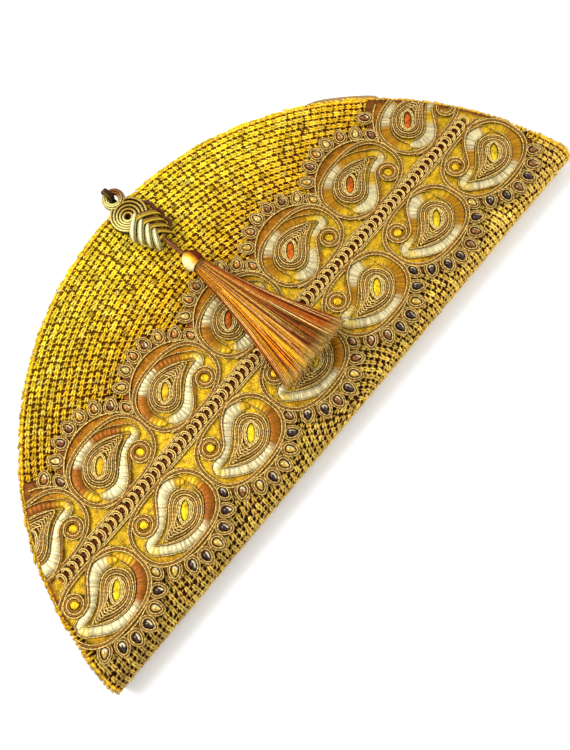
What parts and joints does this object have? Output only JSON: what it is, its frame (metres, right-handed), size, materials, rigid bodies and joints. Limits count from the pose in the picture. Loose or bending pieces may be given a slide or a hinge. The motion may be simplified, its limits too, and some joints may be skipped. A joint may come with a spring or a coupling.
{
  "type": "half-moon clutch bag",
  "caption": "Flat half-moon evening clutch: a crocheted disc folded in half, with an embroidered paisley border across the front and a knotted tassel at the top of the curve.",
  "frame": {"origin": "middle of the base of the whole, on the surface that the bag's back lies on", "axes": "+X along the straight fold, +Y from the fold towards the top of the curved edge, +Z out of the embroidered front"},
  "size_m": [0.3, 0.1554, 0.0303],
  "materials": {
    "crochet": "crocheted metallic gold cord",
    "lining": "satin",
    "snap": "polished",
    "tissue": "gold tissue with beaded pods",
    "metal_cord": "antique gold metal thread",
    "ribbon": "shiny woven metal ribbon",
    "knot_cord": "gold cord",
    "silk": "silk thread"
  },
  "bodies": {
    "bag": {"anchor_loop": "knot_cord", "border_net": "tissue", "crochet_shell": "crochet", "gota_ribbon_lower_1": "ribbon", "gota_ribbon_lower_2": "ribbon", "gota_ribbon_lower_3": "ribbon", "gota_ribbon_lower_4": "ribbon", "gota_ribbon_lower_5": "ribbon", "gota_ribbon_lower_6": "ribbon", "gota_ribbon_lower_7": "ribbon", "gota_ribbon_upper_1": "ribbon", "gota_ribbon_upper_2": "ribbon", "gota_ribbon_upper_3": "ribbon", "gota_ribbon_upper_4": "ribbon", "gota_ribbon_upper_5": "ribbon", "gota_ribbon_upper_6": "ribbon", "gota_ribbon_upper_7": "ribbon", "lining": "lining", "paisley_lower_1": "metal_cord", "paisley_lower_2": "metal_cord", "paisley_lower_3": "metal_cord", "paisley_lower_4": "metal_cord", "paisley_lower_5": "metal_cord", "paisley_lower_6": "metal_cord", "paisley_lower_7": "metal_cord", "paisley_upper_1": "metal_cord", "paisley_upper_2": "metal_cord", "paisley_upper_3": "metal_cord", "paisley_upper_4": "metal_cord", "paisley_upper_5": "metal_cord", "paisley_upper_6": "metal_cord", "paisley_upper_7": "metal_cord", "ring_chain": "metal_cord", "side_seam_left": "crochet", "side_seam_right": "crochet", "snap_socket": "snap", "snap_stud": "snap", "zari_ring_lower_1": "metal_cord", "zari_ring_lower_2": "metal_cord", "zari_ring_lower_3": "metal_cord", "zari_ring_lower_4": "metal_cord", "zari_ring_lower_5": "metal_cord", "zari_ring_lower_6": "metal_cord", "zari_ring_lower_7": "metal_cord", "zari_ring_upper_1": "metal_cord", "zari_ring_upper_2": "metal_cord", "zari_ring_upper_3": "metal_cord", "zari_ring_upper_4": "metal_cord", "zari_ring_upper_5": "metal_cord", "zari_ring_upper_6": "metal_cord", "zari_ring_upper_7": "metal_cord"},
    "knot": {"plaited_knot": "knot_cord"},
    "tassel": {"neck_cord": "knot_cord", "tassel_head": "silk", "tassel_skirt": "silk"}
  },
  "joints": [
    {"name": "knot_hinge", "type": "hinge", "parent": "bag", "child": "knot", "pos_m": [0.0035, 0.07414, 0.01691], "axis": [-1, 0, 0], "range_deg": [0, 165]},
    {"name": "tassel_swing", "type": "hinge", "parent": "knot", "child": "tassel", "pos_m": [0.0035, 0.03834, 0.01883], "axis": [0, 0, 1], "range_deg": [-25, 25]}
  ]
}
